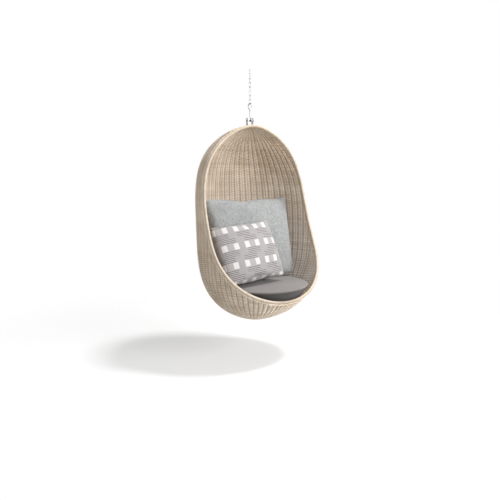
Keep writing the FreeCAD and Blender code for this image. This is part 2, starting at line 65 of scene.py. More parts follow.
# %% [markdown]
# ## The egg's measures
# Everything woven lies on one surface, so its rule comes first. A level section of the egg is two
# half ellipses, a front one and a rear one. Their sizes swell from nothing at the foot to a girth
# and back to nothing at the crown. The frame gives the height: the crown plate's upper face lies
# a little below the top of the egg. Lengths are in metres and heights count from the egg's foot.

# %% The egg as a formula
EGG_HEIGHT = 1.25
PLATE_DEPTH = 0.0076
HALF_WIDTH = 0.410
FRONT_DEPTH = 0.443
REAR_DEPTH = 0.338
WIDTH_GIRTH = 0.593
FRONT_GIRTH = 0.591
REAR_GIRTH = 0.738
SIDE_POWER = 3.44
END_POWER = 1.475
FOOT_SHIFT = -0.047
BELLY_SHIFT = -0.118
SKIN = 0.012
EGG_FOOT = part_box("crown_plate")[1].z + PLATE_DEPTH - EGG_HEIGHT


def swell(height, girth, inset):
    """Share of its largest size that a half width or depth has at a height."""
    above = (height - girth) / (EGG_HEIGHT - girth - inset)
    below = (girth - height) / (girth - inset)
    part = np.clip(np.where(height > girth, above, below), 0.0, 1.0)
    return (1 - part ** SIDE_POWER) ** (1 / END_POWER)


def section(height, inset):
    """Half width, front depth, rear depth and the y of the widest points, at a height."""
    part = height / EGG_HEIGHT
    bow = BELLY_SHIFT * 4 * part * (1 - part)
    width = (HALF_WIDTH - inset) * swell(height, WIDTH_GIRTH, inset)
    front = (FRONT_DEPTH - inset) * swell(height, FRONT_GIRTH, inset) + bow
    rear = (REAR_DEPTH - inset) * swell(height, REAR_GIRTH, inset) - bow
    return width, front, rear, FOOT_SHIFT * (1 - part) + bow


def on_egg(height, turn, inset):
    """Points on the egg, one row each; turn 0 looks forward, a quarter turn to the sitter's left."""
    height, turn, inset = np.broadcast_arrays(height, turn, inset)
    width, front, rear, middle = section(height, inset)
    depth = np.where(np.cos(turn) > 0, front, rear)
    x = width * np.sin(turn)
    y = middle - depth * np.cos(turn)
    return np.stack([x, y, EGG_FOOT + height], axis=-1)


print("egg foot at", round(EGG_FOOT, 4), "widest", section(WIDTH_GIRTH, 0.0))

# %% [markdown]
# ## The rim's line
# The opening is cut by a curved sheet that runs straight across the chair: seen from the side it
# starts at the lip and sweeps up and back to the crown. The rim lies where that sheet meets the
# middle of the skin. The same rule tells a strand of the weave where it has to end.

# %% The rim as a formula
LIP_HEIGHT = 0.178
RIM_POWER = 2.75
RIM_RADIUS = 0.010
CROWN_GAP = 0.0083
RIM_CROWN_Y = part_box("crown_plate")[0].y - CROWN_GAP
MID_SKIN = SKIN / 2


def rim_y(height):
    """How far back the rim lies at a height; far in front below the lip."""
    _, front, _, middle = section(LIP_HEIGHT, MID_SKIN)
    start = middle - front
    part = np.clip((height - LIP_HEIGHT) / (EGG_HEIGHT - LIP_HEIGHT), 0.0, 1.0)
    line = start + (RIM_CROWN_Y - start) * (1 - (1 - part) ** RIM_POWER)
    return np.where(height < LIP_HEIGHT, -9.0, line)


def rim_top():
    """Height at which the rim crosses the middle of the chair at the crown."""
    low, high = FRONT_GIRTH, EGG_HEIGHT - MID_SKIN
    for _ in range(40):
        middle = (low + high) / 2
        front_y = on_egg(middle, 0.0, MID_SKIN)[1]
        low, high = (low, middle) if front_y > rim_y(middle) else (middle, high)
    return low


def rim_path(count):
    """Points along the whole rim, from the crown down the left side and up the right."""
    top = rim_top()
    part = (1 - np.cos(np.linspace(0, math.pi, count))) / 2
    height = LIP_HEIGHT + (top - LIP_HEIGHT) * part
    width, front, rear, middle = section(height, MID_SKIN)
    y = rim_y(height)
    depth = np.where(y < middle, front, rear)
    x = width * np.sqrt(np.clip(1 - ((y - middle) / depth) ** 2, 0, 1))
    x[0] = x[-1] = 0.0
    left = np.stack([x, y, EGG_FOOT + height], axis=-1)[::-1]
    right = (left * [-1, 1, 1])[::-1]
    return np.vstack([left, right[1:-1]])


print("rim top", round(rim_top(), 4), "points", len(rim_path(60)))

# %% [markdown]
# ## Sums on shader sockets
# A material is a little program, and its sums are easier to read as sums. `Wire` wraps one output
# socket, so that `1 - mask * 0.5` adds the Math nodes. `Recipe` makes a material and any other
# node, and each finish below is a short recipe.

# %% A small shader language


class Wire:
    """One output socket that can be added, multiplied and so on."""

    def __init__(self, recipe, socket):
        self.recipe = recipe
        self.socket = socket

    def math(self, operation, *others):
        """Adds a Math node with this wire as its first input."""
        values = {0: self}
        values.update({place + 1: other for place, other in enumerate(others)})
        return self.recipe.node("ShaderNodeMath", {"operation": operation}, values)

    def __add__(self, other):
        return self.math("ADD", other)

    def __sub__(self, other):
        return self.math("SUBTRACT", other)

    def __mul__(self, other):
        return self.math("MULTIPLY", other)

    def __rsub__(self, other):
        return (self * -1) + other

    def __gt__(self, other):
        return self.math("GREATER_THAN", other)

    def __lt__(self, other):
        return self.math("LESS_THAN", other)

    __radd__ = __add__
    __rmul__ = __mul__

    def wave(self, length):
        """A cosine from -1 to 1 that repeats at a length."""
        return (self * (2 * math.pi / length)).math("COSINE")

    def soft(self, low, high):
        """0 below low, 1 above high and a smooth rise between."""
        settings = {"interpolation_type": "SMOOTHSTEP"}
        values = {"Value": self, "From Min": low, "From Max": high}
        return self.recipe.node("ShaderNodeMapRange", settings, values)


class Recipe:
    """A material with one Principled shader."""

    def __init__(self, name, **constants):
        self.material = bpy.data.materials.new(name)
        self.material.use_nodes = True
        self.tree = self.material.node_tree
        self.shader = self.tree.nodes["Principled BSDF"]
        for socket, value in constants.items():
            self.shader.inputs[socket.replace("_", " ")].default_value = value

    def node(self, kind, settings=None, values=None, output=0):
        """Adds a node; its values are numbers, colours or wires."""
        made = self.tree.nodes.new(kind)
        for name, value in (settings or {}).items():
            setattr(made, name, value)
        for name, value in (values or {}).items():
            self.put(made.inputs[name], value)
        return Wire(self, made.outputs[output])

    def put(self, socket, value):
        """Links a wire to a socket, or writes a plain value on it."""
        if isinstance(value, Wire):
            self.tree.links.new(value.socket, socket)
        else:
            socket.default_value = value

    def feed(self, **wires):
        """Links wires to the shader's own sockets."""
        for socket, value in wires.items():
            self.put(self.shader.inputs[socket.replace("_", " ")], value)

    def place(self):
        """Object coordinates, as one vector."""
        return self.node("ShaderNodeTexCoord", output="Object")

    def split(self, vector):
        """The three numbers of a vector."""
        outputs = self.node("ShaderNodeSeparateXYZ", values={0: vector}).socket.node.outputs
        return [Wire(self, output) for output in outputs]

    def noise(self, where, scale, detail=3.0, roughness=0.5):
        """Clouds, finer with a larger scale."""
        values = {"Vector": where, "Scale": scale, "Detail": detail, "Roughness": roughness}
        return self.node("ShaderNodeTexNoise", {}, values)

    def stretch(self, where, sizes):
        """Coordinates multiplied axis by axis."""
        return self.node("ShaderNodeVectorMath", {"operation": "MULTIPLY"}, {0: where, 1: sizes})

    def blend(self, factor, first, second):
        """A colour between two others."""
        settings = {"data_type": "RGBA", "clamp_factor": True}
        return self.node("ShaderNodeMix", settings, {0: factor, 6: first, 7: second}, output=2)

    def attribute(self, name):
        """A number that the mesh carries under a name."""
        return self.node("ShaderNodeAttribute", {"attribute_name": name}, output="Fac")

    def bump(self, height, distance, strength):
        """Relief too fine to model; distance is its real height in metres."""
        values = {"Height": height, "Distance": distance, "Strength": strength}
        self.feed(Normal=self.node("ShaderNodeBump", {}, values))


def srgb(red, green, blue):
    """A colour given as it looks on a screen, from 0 to 255, as the shader wants it."""
    linear = []
    for value in (red, green, blue):
        share = value / 255
        linear.append(share / 12.92 if share < 0.04045 else ((share + 0.055) / 1.055) ** 2.4)
    return (*linear, 1.0)


def shaded(colour, share):
    """The same colour, darker."""
    return tuple(value * share for value in colour[:3]) + (1.0,)


print("a screen grey of 128 is", round(srgb(128, 128, 128)[0], 3), "for a shader")


# %% [markdown]
# ## Cane
# Peeled cane is pale, dull and a little greasy, and no two strands have the same tone. The strands
# carry a number called `tone`, one value for each, and the colour moves between a light and a dark
# cane with it. A second number, `groove`, says how deep a point lies in the weave, and the colour is
# darkened there as painted shade. Long noise adds stains, short noise adds the fibres that show as
# fine streaks.

# %% Cane and frame materials


def cane(name, pale, dark, stain_and_shade):
    """Peeled cane between a pale and a dark tone, with stains, and painted shade darkening the
    grooves.
    """
    recipe = Recipe(name, Coat_Roughness=0.4, Sheen_Weight=0.05)
    where = recipe.place()
    tone = recipe.attribute("tone")
    patches = recipe.noise(where, 9.0, 4.0)
    fibres = recipe.noise(recipe.stretch(where, (1.0, 1.0, 6.0)), 190.0, 4.0, 0.6)
    mixed = tone * 0.36 + patches.soft(0.35, 0.7) * 0.3 + (fibres - 0.5) * 0.6
    colour = recipe.blend(mixed, pale, dark)
    marks = recipe.noise(where, 140.0, 4.0, 0.7).soft(0.48, 0.72) * 0.5
    # Painted shade darkens the grooves of the weave. The marks are real stains, and both blend
    # towards one colour.
    groove_shade = recipe.attribute("groove").soft(0.35, 1.0) * 0.7
    worn = marks.math("MAXIMUM", groove_shade)
    recipe.feed(Base_Color=recipe.blend(worn, colour, stain_and_shade), Roughness=0.5 + fibres * 0.25)
    recipe.bump(fibres + patches * 0.4, 0.0004, 0.7)
    return recipe.material


def steel(name, colour, rough, scratch):
    """Zinc-plated steel: a dull sheen with fine cloudy patches and a few scratches."""
    recipe = Recipe(name, Metallic=1.0)
    where = recipe.place()
    clouds = recipe.noise(where, 160.0, 3.0)
    lines = recipe.noise(recipe.stretch(where, (6.0, 6.0, 1.0)), 420.0, 3.0, 0.7)
    dark = shaded(colour, 0.62)
    recipe.feed(Base_Color=recipe.blend(clouds.soft(0.35, 0.7), colour, dark))
    recipe.feed(Roughness=rough + (lines - 0.5) * scratch)
    recipe.bump(lines, 0.00006, 0.6)
    return recipe.material


def powder_coat(name, colour):
    """Baked paint with its faint orange peel."""
    recipe = Recipe(name, Coat_Weight=0.15)
    where = recipe.place()
    peel = recipe.noise(where, 420.0, 2.0)
    worn = recipe.noise(where, 24.0, 4.0).soft(0.6, 0.75) * 0.4
    dark = shaded(colour, 0.7)
    recipe.feed(Base_Color=recipe.blend(worn, colour, dark), Roughness=0.4 + peel * 0.15)
    recipe.bump(peel, 0.00008, 0.6)
    return recipe.material


WEFT_CANE = cane("weft_cane", srgb(250, 237, 221), srgb(184, 161, 131), srgb(118, 95, 68))
STAKE_CANE = cane("stake_cane", srgb(196, 176, 146), srgb(150, 128, 98), srgb(110, 88, 62))
RIM_CANE = cane("rim_cane", srgb(210, 197, 180), srgb(176, 158, 134), srgb(146, 124, 98))
CHAIN_STEEL = steel("chain_steel", srgb(196, 196, 198), 0.36, 0.25)
HOOK_STEEL = steel("hook_steel", srgb(182, 182, 186), 0.34, 0.2)
HARDWARE_STEEL = steel("hardware_steel", srgb(188, 188, 190), 0.42, 0.25)
FRAME_PAINT = powder_coat("frame_paint", srgb(176, 158, 130))
print("materials so far:", [material.name for material in bpy.data.materials])

# %% [markdown]
# ## Strands from lines
# All the weaving is strands that follow lines. The lines are worked out here as points, and one
# Geometry Nodes tree gives every line its round body: it turns edges into curves and sweeps a
# circle along them. The tree has its radius, its number of sides and its material as inputs, so
# the same tree makes the stakes, the wefts and the border.

# %% The tree that gives lines a body


def new_tree(name, inputs):
    """An empty node tree with a geometry input and output and some named inputs."""
    tree = bpy.data.node_groups.new(name, "GeometryNodeTree")
    face = tree.interface
    face.new_socket("Geometry", in_out="INPUT", socket_type="NodeSocketGeometry")
    for label, kind in inputs.items():
        face.new_socket(label, in_out="INPUT", socket_type=kind)
    face.new_socket("Geometry", in_out="OUTPUT", socket_type="NodeSocketGeometry")
    start = tree.nodes.new("NodeGroupInput")
    end = tree.nodes.new("NodeGroupOutput")
    return tree, start, end


def add(tree, kind, links, settings=None, values=None):
    """Adds a node to a tree; links maps its inputs to other nodes' outputs."""
    made = tree.nodes.new(kind)
    for name, value in (settings or {}).items():
        setattr(made, name, value)
    for name, value in (values or {}).items():
        made.inputs[name].default_value = value
    for name, output in links.items():
        tree.links.new(output, made.inputs[name])
    return made


def painted(tree, start, end, geometry):
    """Smooths the geometry, gives it the tree's material and sends it out of the tree."""
    smooth = add(tree, "GeometryNodeSetShadeSmooth", {"Geometry": geometry})
    covered = add(tree, "GeometryNodeSetMaterial", {
        "Geometry": smooth.outputs[0],
        "Material": start.outputs["Material"],
    })
    tree.links.new(covered.outputs[0], end.inputs[0])
    return tree


def strand_tree():
    """Edges become curves, and a circle is swept along them."""
    inputs = {
        "Radius": "NodeSocketFloat",
        "Sides": "NodeSocketInt",
        "Material": "NodeSocketMaterial",
    }
    tree, start, end = new_tree("strands", inputs)
    lines = add(tree, "GeometryNodeMeshToCurve", {"Mesh": start.outputs["Geometry"]})
    profile = add(tree, "GeometryNodeCurvePrimitiveCircle", {
        "Radius": start.outputs["Radius"],
        "Resolution": start.outputs["Sides"],
    })
    swept = add(tree, "GeometryNodeCurveToMesh", {
        "Curve": lines.outputs[0],
        "Profile Curve": profile.outputs["Curve"],
    }, values={"Fill Caps": True})
    return painted(tree, start, end, swept.outputs[0])


STRANDS = strand_tree()


def placed(name, data):
    """A new object in the scene."""
    made = bpy.data.objects.new(name, data)
    bpy.context.scene.collection.objects.link(made)
    return made


def grown(name, mesh, tree, settings):
    """Runs a tree on a mesh and returns the result as a plain object."""
    source = placed(name + "_lines", mesh)
    modifier = source.modifiers.new("grow", "NODES")
    modifier.node_group = tree
    for item in tree.interface.items_tree:
        if item.in_out == "INPUT" and item.name in settings:
            modifier[item.identifier] = settings[item.name]
    graph = bpy.context.evaluated_depsgraph_get()
    result = bpy.data.meshes.new_from_object(source.evaluated_get(graph))
    result.name = name
    bpy.data.objects.remove(source)
    return placed(name, result)


def line_mesh(name, lines, tones):
    """Lines as loose edges, with a tone for each line; a line is (points, closed).

    A fourth number of a point says how deep it lies in a groove of the weave, from 0 to 1.
    """
    points, edges, tone, groove = [], [], [], []
    for (line, closed), value in zip(lines, tones):
        first = len(points)
        count = len(line)
        points.extend(line[:, :3])
        groove.extend(line[:, 3] if line.shape[1] > 3 else [0.0] * count)
        tone.extend([value] * count)
        edges.extend((first + index, first + index + 1) for index in range(count - 1))
        if closed:
            edges.append((first + count - 1, first))
    mesh = bpy.data.meshes.new(name)
    mesh.from_pydata([tuple(point) for point in points], edges, [])
    for label, values in (("tone", tone), ("groove", groove)):
        layer = mesh.attributes.new(label, "FLOAT", "POINT")
        layer.data.foreach_set("value", np.array(values, dtype=np.float32))
    return mesh


def faces_of(piece):
    """Number of triangles."""
    return sum(len(face.vertices) - 2 for face in piece.data.polygons)


print("strand tree:", len(STRANDS.nodes), "nodes")


# %% [markdown]
# ## Stakes
# The stakes are the uprights of the weave. They fan out from the foot disc, run up the egg and end
# at the rim or at the crown plate. A stake is thinner than a weft and nearly hidden by them. It only
# shows in the gaps between their columns, where it gives the dark upright lines their bottom.

# %% The stakes
STAKES = 64
STAKE_RADIUS = 0.0022
FOOT_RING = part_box("foot_disc")[1].x
CROWN_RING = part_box("crown_plate")[1].x
RIM_CLEAR = RIM_RADIUS * 0.6
STAKE_POINTS = 70


def meridian():
    """Heights up the side of the egg, with the mean radius and the length run at each."""
    height = np.linspace(0.0, EGG_HEIGHT, 6001)
    width, front, rear, _ = section(height, MID_SKIN)
    radius = (width + (front + rear) / 2) / 2
    step = np.hypot(np.diff(height), np.diff(radius))
    run = np.concatenate([[0.0], np.cumsum(step)])
    return height, radius, run


HEIGHTS, RADII, RUN = meridian()
HALF_WAY = len(HEIGHTS) // 2
RUN_START = np.interp(FOOT_RING, RADII[:HALF_WAY], RUN[:HALF_WAY])
RUN_END = np.interp(-CROWN_RING, -RADII[HALF_WAY:], RUN[HALF_WAY:])


def kept_runs(points, closed):
    """Cuts a line where it passes in front of the rim and gives the pieces behind it."""
    behind = points[:, 1] - rim_y(points[:, 2] - EGG_FOOT) - RIM_CLEAR
    inside = behind > 0
    if inside.all():
        return [(points, closed)]
    if closed:
        first = int(np.argmin(inside))
        points = np.roll(points, -first, axis=0)
        behind = np.roll(behind, -first)
        inside = behind > 0
    lines, current = [], []
    for index in range(len(points)):
        if inside[index]:
            if not current and index > 0:
                share = behind[index] / (behind[index] - behind[index - 1])
                current.append(points[index] + (points[index - 1] - points[index]) * share)
            current.append(points[index])
        elif current:
            share = behind[index - 1] / (behind[index - 1] - behind[index])
            current.append(points[index - 1] + (points[index] - points[index - 1]) * share)
            lines.append(current)
            current = []
    if current:
        lines.append(current)
    return [(np.array(line), False) for line in lines if len(line) > 3]


def stakes():
    """All the uprights, cut where they pass the rim."""
    dice = np.random.default_rng(11)
    run = np.linspace(RUN_START, RUN_END, STAKE_POINTS)
    height = np.interp(run, RUN, HEIGHTS)
    lines = []
    for index in range(STAKES):
        turn = 2 * math.pi * index / STAKES
        lines.extend(kept_runs(on_egg(height, turn, MID_SKIN), False))
    mesh = line_mesh("stake_lines", lines, dice.random(len(lines)))
    return grown("stakes", mesh, STRANDS, {
        "Radius": STAKE_RADIUS,
        "Sides": 6,
        "Material": STAKE_CANE,
    })


STAKE_PIECE = stakes()
print("stakes:", faces_of(STAKE_PIECE), "triangles, length", round(RUN_END - RUN_START, 3))

# %% [markdown]
# ## Wefts
# A weft goes round the egg and passes outside one stake and inside the next, and the weft above it
# does the opposite. That is a cosine whose length is two stakes, added to the distance from the
# middle of the skin. Near the foot and the crown the stakes stand closer together, so the wave
# gets flatter there. Where a course reaches the rim it ends there, and the rim hides its end.
# The courses are put in four pieces, from the foot to the crown, to keep each mesh handy.

# %% The wefts
WEFT_RADIUS = 0.0031
COURSE_PITCH = 0.0062
WEAVE_DEPTH = 0.0042
POINTS_PER_STAKE = 4
WEFT_PIECES = 4
WIDE_GAP = 0.024


def weft_line(height, radius, course):
    """One course round the whole egg; it waves less where the stakes stand close."""
    turn = np.linspace(0, 2 * math.pi, STAKES * POINTS_PER_STAKE, endpoint=False)
    gap = 2 * math.pi * radius / STAKES
    depth = WEAVE_DEPTH * min(1.0, gap / WIDE_GAP)
    wave = np.cos(turn * STAKES / 2 + math.pi * course)
    points = on_egg(height, turn, MID_SKIN - depth * wave)
    return np.column_stack([points, 1 - np.abs(wave)])


def wefts():
    """All the courses, in pieces from the foot to the crown."""
    dice = np.random.default_rng(23)
    count = int((RUN_END - RUN_START) / COURSE_PITCH)
    run = np.linspace(RUN_START + WEFT_RADIUS, RUN_END - WEFT_RADIUS, count)
    height = np.interp(run, RUN, HEIGHTS)
    radius = np.interp(run, RUN, RADII)
    pieces = []
    for part, courses in enumerate(np.array_split(np.arange(count), WEFT_PIECES)):
        lines = []
        for course in courses:
            lines.extend(kept_runs(weft_line(height[course], radius[course], course), True))
        mesh = line_mesh("weft_lines", lines, dice.random(len(lines)))
        pieces.append(grown("wefts_" + str(part + 1), mesh, STRANDS, {
            "Radius": WEFT_RADIUS,
            "Sides": 5,
            "Material": WEFT_CANE,
        }))
    return pieces


WEFTS = wefts()
print("wefts:", [faces_of(piece) for piece in WEFTS], "triangles")

# %% [markdown]
# ## The wrapped rim
# The rim is a steel hoop with flat cane wound round it, turn beside turn. One turn is a flat ring,
# tilted a little, so a second tree puts a ring at every step along the rim's line and turns it to
# follow the line. A random number for each ring varies its tone.

# %% Rings along the rim
TURN_PITCH = 0.0074
TURN_TILT = math.radians(16)
BAND_HALF_WIDTH = TURN_PITCH * 0.56
BAND_HALF_THICK = 0.0013
BAND_INSET = 0.0019


def wrap_tree():
    """A tilted flat ring at every step along a line, each with its own tone."""
    inputs = {
        "Pitch": "NodeSocketFloat",
        "Ring Radius": "NodeSocketFloat",
        "Half Width": "NodeSocketFloat",
        "Half Thickness": "NodeSocketFloat",
        "Tilt": "NodeSocketFloat",
        "Seed": "NodeSocketInt",
        "Material": "NodeSocketMaterial",
    }
    tree, start, end = new_tree("wrapping", inputs)
    line = add(tree, "GeometryNodeMeshToCurve", {"Mesh": start.outputs["Geometry"]})
    steps = add(tree, "GeometryNodeCurveToPoints", {
        "Curve": line.outputs[0],
        "Length": start.outputs["Pitch"],
    }, {"mode": "LENGTH"})
    ring = add(tree, "GeometryNodeCurvePrimitiveCircle", {
        "Radius": start.outputs["Ring Radius"],
    }, values={"Resolution": 14})
    flat = add(tree, "GeometryNodeCurvePrimitiveCircle", {
        "Radius": start.outputs["Half Width"],
    }, values={"Resolution": 6})
    ratio = add(tree, "ShaderNodeMath", {
        0: start.outputs["Half Thickness"],
        1: start.outputs["Half Width"],
    }, {"operation": "DIVIDE"})
    squeeze = add(tree, "ShaderNodeCombineXYZ", {
        "X": ratio.outputs[0],
    }, values={"Y": 1.0, "Z": 1.0})
    profile = add(tree, "GeometryNodeTransform", {
        "Geometry": flat.outputs["Curve"],
        "Scale": squeeze.outputs[0],
    })
    band = add(tree, "GeometryNodeCurveToMesh", {
        "Curve": ring.outputs["Curve"],
        "Profile Curve": profile.outputs[0],
    })
    lean = add(tree, "ShaderNodeCombineXYZ", {"X": start.outputs["Tilt"]})
    tilted = add(tree, "GeometryNodeTransform", {
        "Geometry": band.outputs[0],
        "Rotation": lean.outputs[0],
    })
    rings = add(tree, "GeometryNodeInstanceOnPoints", {
        "Points": steps.outputs["Points"],
        "Instance": tilted.outputs[0],
        "Rotation": steps.outputs["Rotation"],
    })
    dice = add(tree, "FunctionNodeRandomValue", {
        "Seed": start.outputs["Seed"],
    }, {"data_type": "FLOAT"})
    toned = add(tree, "GeometryNodeStoreNamedAttribute", {
        "Geometry": rings.outputs[0],
        "Value": dice.outputs[1],
    }, {"domain": "INSTANCE", "data_type": "FLOAT"}, {"Name": "tone"})
    real = add(tree, "GeometryNodeRealizeInstances", {"Geometry": toned.outputs[0]})
    return painted(tree, start, end, real.outputs[0])


RIM_LINE = rim_path(120)
RIM_MESH = line_mesh("rim_line", [(RIM_LINE, True)], [0.5])
RIM_WRAPPING = grown("rim_wrapping", RIM_MESH, wrap_tree(), {
    "Pitch": TURN_PITCH,
    "Ring Radius": RIM_RADIUS - BAND_INSET,
    "Half Width": BAND_HALF_WIDTH,
    "Half Thickness": BAND_HALF_THICK,
    "Tilt": TURN_TILT,
    "Seed": 5,
    "Material": RIM_CANE,
})
print("rim wrapping:", faces_of(RIM_WRAPPING), "triangles", RIM_WRAPPING.dimensions)

# %% [markdown]
# ## The border
# The stakes don't stop at the rim: each is bent over and its end is laid in with the next ones, so
# a thick twist follows the rim on the outside of the weave. Two strands that wind round one another
# along a line just behind the rim give its loops.

# %% The twisted border
BORDER_BACK = 0.0145
BORDER_TWIST = 0.0045
BORDER_PITCH = 0.062
BORDER_STRAND = 0.0024
BORDER_LIFT = 0.004
BORDER_FLATNESS = 0.7
BORDER_TONES = [0.0, 0.25]
OUTWARD_RISE = 0.5
POINTS_PER_TURN = 10


def unit(vectors):
    """The same directions with length one, row by row."""
    return vectors / np.linalg.norm(vectors, axis=1)[:, None]


def rim_directions():
    """At each point of the rim, the way out of the egg and the way back along its skin."""
    height = RIM_LINE[:, 2] - EGG_FOOT
    along = unit(np.roll(RIM_LINE, -1, axis=0) - np.roll(RIM_LINE, 1, axis=0))
    middle = section(height, MID_SKIN)[3]
    out = RIM_LINE - np.stack([np.zeros_like(height), middle, RIM_LINE[:, 2]], axis=-1)
    out[:, 2] = (height - EGG_HEIGHT / 2) * OUTWARD_RISE
    out = unit(out - along * np.sum(out * along, axis=1)[:, None])
    back = np.cross(along, out)
    return out, back * np.sign(back[:, 1])[:, None]


def at_steps(table, run, steps):
    """Rows of a closed table at even steps along its line."""
    closed = np.vstack([table, table[:1]])
    return np.stack([np.interp(steps, run, closed[:, axis]) for axis in range(3)], axis=-1)


def border():
    """Two strands that twist round a line on the skin's outer face, behind the rim."""
    out, back = rim_directions()
    line = RIM_LINE + back * BORDER_BACK + out * BORDER_LIFT
    length = np.linalg.norm(np.diff(np.vstack([line, line[:1]]), axis=0), axis=1)
    run = np.concatenate([[0.0], np.cumsum(length)])
    turns = round(run[-1] / BORDER_PITCH)
    steps = np.linspace(0, run[-1], turns * POINTS_PER_TURN, endpoint=False)
    line, out, back = (at_steps(table, run, steps) for table in (line, out, back))
    lines = []
    for strand in range(2):
        angle = 2 * math.pi * turns * steps / run[-1] + math.pi * strand
        offset = out * np.cos(angle)[:, None] * BORDER_FLATNESS + back * np.sin(angle)[:, None]
        lines.append((line + offset * BORDER_TWIST, True))
    return grown("border", line_mesh("border_lines", lines, BORDER_TONES), STRANDS, {
        "Radius": BORDER_STRAND,
        "Sides": 8,
        "Material": WEFT_CANE,
    })


BORDER = border()
print("border:", faces_of(BORDER), "triangles", BORDER.dimensions)

# %% [markdown]
# The woven pieces stand for the CAD skin and the CAD wrapping, and they hang with the chair.

# %% The weave rides on the chair
for piece in WEFTS + [STAKE_PIECE]:
    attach(piece, "chair")
    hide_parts("woven_shell")
for piece in (RIM_WRAPPING, BORDER):
    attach(piece, "chair")
    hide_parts("rim_wrap")
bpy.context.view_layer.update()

# %% [markdown]
# ## Cloth for the cushions
# Outdoor cushions have woven covers. Plain weave is two crossed sets of fine ridges, which a bump
# from two cosines gives at its true size. The back cushion is heathered: its yarn is spun from
# light and dark fibres, so short streaks of both run along the threads.

# %% Fabric materials
SEAT_THREAD = 0.0007
BACK_THREAD = 0.0008
BAND_SHADE = 0.42
BAND_DROP = 0.004


def woven_height(across, along, thread):
    """The height of plain weave with threads of a given width."""
    return across.wave(thread * 2) * along.wave(thread * 2)


def plain_cloth(name, pale, dark, thread, band_top):
    """Plain weave in two near colours; below a height the band is darker, as painted shade."""
    recipe = Recipe(name, Sheen_Weight=0.12, Sheen_Roughness=0.5)
    where = recipe.place()
    x, y, z = recipe.split(where)
    weave = woven_height(x + z * 0.3, y + z * 0.8, thread)
    slub = recipe.noise(where, 700.0, 2.0)
    patches = recipe.noise(where, 7.0, 3.0).soft(0.3, 0.75)
    mixed = patches * 0.35 + (slub - 0.5) * 0.7 + (0.5 - weave * 0.5) * 0.25
    # Painted shade: below the seam the band is darker, as it faces down and away from the lamps.
    low = 1 - z.soft(band_top - 0.006, band_top + 0.002)
    colour = recipe.blend(low, recipe.blend(mixed, pale, dark), shaded(dark, BAND_SHADE))
    recipe.feed(Base_Color=colour, Roughness=0.8 + slub * 0.15)
    recipe.bump(weave + slub, 0.00025, 0.6)
    return recipe.material


def heather_cloth(name, pale, dark, thread):
    """Plain weave with short streaks of light and dark fibre along both sets of threads."""
    recipe = Recipe(name, Roughness=0.88, Sheen_Weight=0.15, Sheen_Roughness=0.5)
    where = recipe.place()
    x, _, z = recipe.split(where)
    upright = recipe.noise(recipe.stretch(where, (1.0, 1.0, 0.2)), 380.0, 4.0, 0.75)
    level = recipe.noise(recipe.stretch(where, (0.2, 0.2, 1.0)), 380.0, 4.0, 0.75)
    clouds = recipe.noise(where, 9.0, 3.0, 0.6).soft(0.3, 0.75)
    weave = woven_height(x, z, thread)
    mixed = upright.soft(0.4, 0.62) * 0.55 + level.soft(0.42, 0.64) * 0.4 + clouds * 0.1
    recipe.feed(Base_Color=recipe.blend(mixed, pale, dark))
    recipe.bump(weave + upright + level, 0.0003, 0.6)
    return recipe.material


SEAT_CLOTH = plain_cloth("seat_cloth", srgb(122, 117, 114), srgb(96, 92, 90), SEAT_THREAD,
                         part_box("seat_cushion")[1].z - BAND_DROP)
BACK_CLOTH = heather_cloth("back_cloth", srgb(168, 170, 169), srgb(82, 85, 85), BACK_THREAD)
print("cloths so far:", SEAT_CLOTH.name, BACK_CLOTH.name)

# %% [markdown]
# The throw pillow has a printed pattern: white squares in rows, each row shifted by half a step, and
# between them blocks of fine dark lines, some level and some upright, that look like a basket. The
# print is on the cut cloth, so it reads the cut's own measures from the UV map, in metres.

# %% The pillow's pattern
SQUARE_STEP = 0.075
ROW_STEP = 0.111
SQUARE_WIDE = 0.032
SQUARE_TALL = 0.039
LEVEL_STEP = 0.0105
UPRIGHT_STEP = LEVEL_STEP * 0.45
LEVEL_SHARE = 0.34
UPRIGHT_SHARE = 0.3
LEVEL_BLOCK = 0.3
ROW_RISE = 0.048
PILLOW_THREAD = 0.0009


def pattern_cloth(name, ground, white, ink):
    """White squares in shifted rows, and blocks of level or upright lines between them."""
    recipe = Recipe(name, Roughness=0.86, Sheen_Weight=0.12, Sheen_Roughness=0.5)
    cut = recipe.node("ShaderNodeUVMap", {"uv_map": "cut"})
    u, v, _ = recipe.split(cut)
    v = v + ROW_RISE
    row = (v * (1 / ROW_STEP)).math("FLOOR")
    odd = row.math("PINGPONG", 1.0)
    across = (u * (1 / SQUARE_STEP) + odd * 0.5).math("FRACT")
    up = (v * (1 / ROW_STEP)).math("FRACT")
    half_wide = SQUARE_WIDE / SQUARE_STEP / 2
    half_tall = SQUARE_TALL / ROW_STEP / 2
    aside = (across - 0.5).math("ABSOLUTE")
    off_row = (up - 0.5).math("ABSOLUTE")
    square = (aside < half_wide) * (off_row < half_tall)
    pair = ((u * (0.5 / SQUARE_STEP) + odd * 0.25).math("FRACT") - 0.5).math("ABSOLUTE")
    level_block = (pair < LEVEL_BLOCK) * (off_row > half_tall)
    upright_block = (1 - (pair < LEVEL_BLOCK)) * (1 - square)
    level = (v * (1 / LEVEL_STEP)).math("FRACT") < LEVEL_SHARE
    upright = (u * (1 / UPRIGHT_STEP)).math("FRACT") < UPRIGHT_SHARE
    lines = level_block * level * 0.95 + upright_block * upright * 0.45
    slub = recipe.noise(recipe.place(), 600.0, 2.0)
    body = recipe.blend(lines * (0.6 + slub * 0.6), ground, ink)
    recipe.feed(Base_Color=recipe.blend(square, body, white))
    weave = woven_height(u, v, PILLOW_THREAD)
    recipe.bump(weave + slub + square * 1.5 - lines * 1.5, 0.0003, 0.7)
    return recipe.material


PILLOW_CLOTH = pattern_cloth("pillow_cloth", srgb(156, 152, 151), srgb(198, 196, 195),
                             srgb(66, 62, 62))
print("pillow cloth:", len(PILLOW_CLOTH.node_tree.nodes), "nodes")

